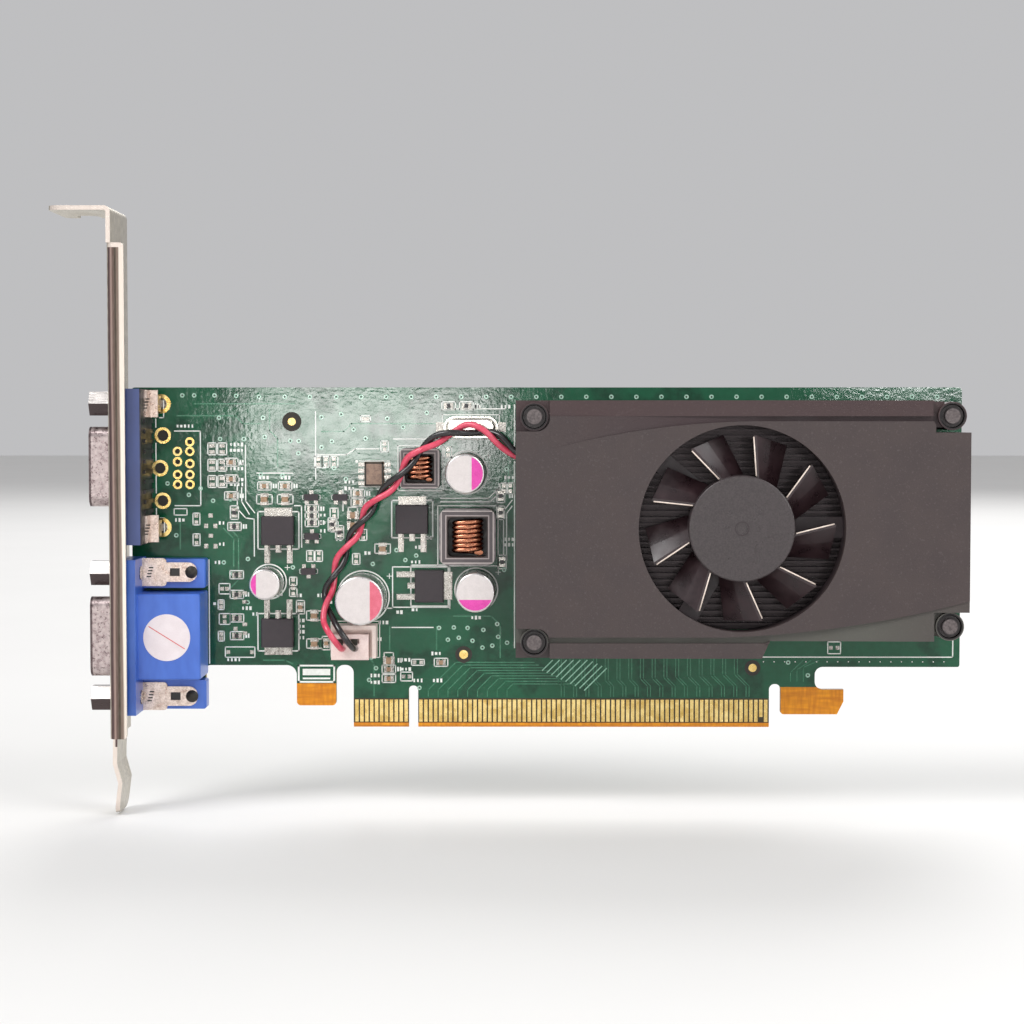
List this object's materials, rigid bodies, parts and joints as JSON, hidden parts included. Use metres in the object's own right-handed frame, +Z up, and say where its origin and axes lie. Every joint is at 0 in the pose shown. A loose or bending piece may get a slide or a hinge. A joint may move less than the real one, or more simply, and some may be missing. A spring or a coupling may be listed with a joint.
{
  "type": "graphics card",
  "caption": "Low-profile expansion card with a full-height slot bracket, stacked analogue video ports, a finned heatsink under a fan cover and a gold edge connector.",
  "frame": {"origin": "centre of the edge connector's key notch, at the contacts' bottom edge and half the board's thickness", "axes": "+X along the card away from the bracket, +Y out of the solder side (the component side faces -Y), +Z up from the edge connector to the board's top edge"},
  "size_m": [0.1812, 0.0197, 0.12],
  "materials": {
    "board": "green solder mask over glass laminate",
    "gold": "thin gold plate",
    "bracket_steel": "nickel-plated spring steel sheet",
    "violet_plastic": "violet-blue moulded polyester",
    "blue_plastic": "bright blue moulded polyester",
    "plated_shell": "nickel plate, slightly mottled",
    "clip_metal": "tin plate",
    "screw_steel": "bright nickel plate",
    "label_paper": "coated paper with one thin red stroke",
    "cover_plastic": "fine-textured brownish grey",
    "black_aluminium": "black anodised fins",
    "fan_plastic": "dark maroon-brown moulding",
    "frame_plastic": "near-black moulding",
    "plain_steel": "zinc plate",
    "chip_carrier": "green carrier",
    "silicon": "bare polished die",
    "paste": "grey thermal paste",
    "chip_black": "moulded epoxy",
    "chip_brown": "moulded epoxy, washed out by the lamp",
    "motor_board": "green solder mask",
    "bronze": "sintered bronze",
    "core_steel": "stacked silicon steel",
    "copper": "enamelled copper wire",
    "magnet": "bonded ferrite",
    "spring_steel": "drawn wire",
    "pin_nylon": "brownish grey nylon",
    "can_aluminium": "white-topped drawn can with one coloured segment",
    "seal_rubber": "black bung",
    "tinned_lead": "tin plate",
    "ferrite": "grey moulded ferrite",
    "crystal_steel": "drawn can, nickel plate",
    "ceramic": "tan ceramic",
    "resistor_black": "black glaze",
    "header_white": "cream nylon",
    "plug_white": "pinkish white nylon",
    "wire_red": "red vinyl insulation",
    "wire_black": "black vinyl insulation",
    "sleeve_black": "shrunk sleeve"
  },
  "bodies": {
    "card": {"pcb": "board", "edge_contacts": "gold", "bracket": "bracket_steel", "vga_upper_housing": "violet_plastic", "vga_upper_shell": "plated_shell", "vga_upper_contacts": "gold", "vga_upper_clips": "clip_metal", "vga_lower_housing": "blue_plastic", "vga_lower_shell": "plated_shell", "vga_lower_contacts": "gold", "vga_lower_clips": "clip_metal", "jackscrews": "screw_steel", "inspection_sticker": "label_paper", "fan_cover": "cover_plastic", "heatsink": "black_aluminium", "gpu_substrate": "chip_carrier", "gpu_die": "silicon", "thermal_paste": "paste", "memory_chips": "chip_black", "fan_frame": "frame_plastic", "fan_screws": "plain_steel", "fan_circuit_board": "motor_board", "fan_bearing": "bronze", "stator_core": "core_steel", "stator_windings": "copper", "capacitor_cans": "can_aluminium", "capacitor_seals": "seal_rubber", "capacitor_leads": "tinned_lead", "inductor_shells": "ferrite", "inductor_coils": "copper", "regulator_bodies": "chip_black", "regulator_leads": "tinned_lead", "crystal_can": "crystal_steel", "controller_chip": "chip_brown", "controller_leads": "tinned_lead", "transistor_bodies": "chip_black", "transistor_leads": "tinned_lead", "ceramic_capacitors": "ceramic", "chip_resistors": "resistor_black", "chip_terminals": "tinned_lead", "fan_header": "header_white", "header_pins": "tinned_lead", "fan_plug": "plug_white", "fan_lead_sleeve": "sleeve_black", "fan_wire_red": "wire_red", "fan_wire_black": "wire_black", "push_pin_spring_1": "spring_steel", "push_pin_spring_2": "spring_steel", "push_pin_spring_3": "spring_steel", "push_pin_spring_4": "spring_steel"},
    "fan_rotor": {"fan_impeller": "fan_plastic", "rotor_magnet": "magnet", "fan_shaft": "plain_steel"},
    "push_pin_1": {"push_pin_1": "pin_nylon"},
    "push_pin_2": {"push_pin_2": "pin_nylon"},
    "push_pin_3": {"push_pin_3": "pin_nylon"},
    "push_pin_4": {"push_pin_4": "pin_nylon"}
  },
  "joints": [
    {"name": "fan_spin", "type": "hinge", "parent": "card", "child": "fan_rotor", "pos_m": [0.0653, -0.01, 0.041], "axis": [0, -1, 0], "continuous": true},
    {"name": "push_pin_1_slide", "type": "slide", "parent": "card", "child": "push_pin_1", "axis": [0, 1, 0], "range_m": [0, 0.002], "stiffness_N_per_m": 400, "springref_m": -0.001, "deforming": ["push_pin_spring_1"]},
    {"name": "push_pin_2_slide", "type": "slide", "parent": "card", "child": "push_pin_2", "axis": [0, 1, 0], "range_m": [0, 0.002], "stiffness_N_per_m": 400, "springref_m": -0.001, "deforming": ["push_pin_spring_2"]},
    {"name": "push_pin_3_slide", "type": "slide", "parent": "card", "child": "push_pin_3", "axis": [0, 1, 0], "range_m": [0, 0.002], "stiffness_N_per_m": 400, "springref_m": -0.001, "deforming": ["push_pin_spring_3"]},
    {"name": "push_pin_4_slide", "type": "slide", "parent": "card", "child": "push_pin_4", "axis": [0, 1, 0], "range_m": [0, 0.002], "stiffness_N_per_m": 400, "springref_m": -0.001, "deforming": ["push_pin_spring_4"]}
  ]
}
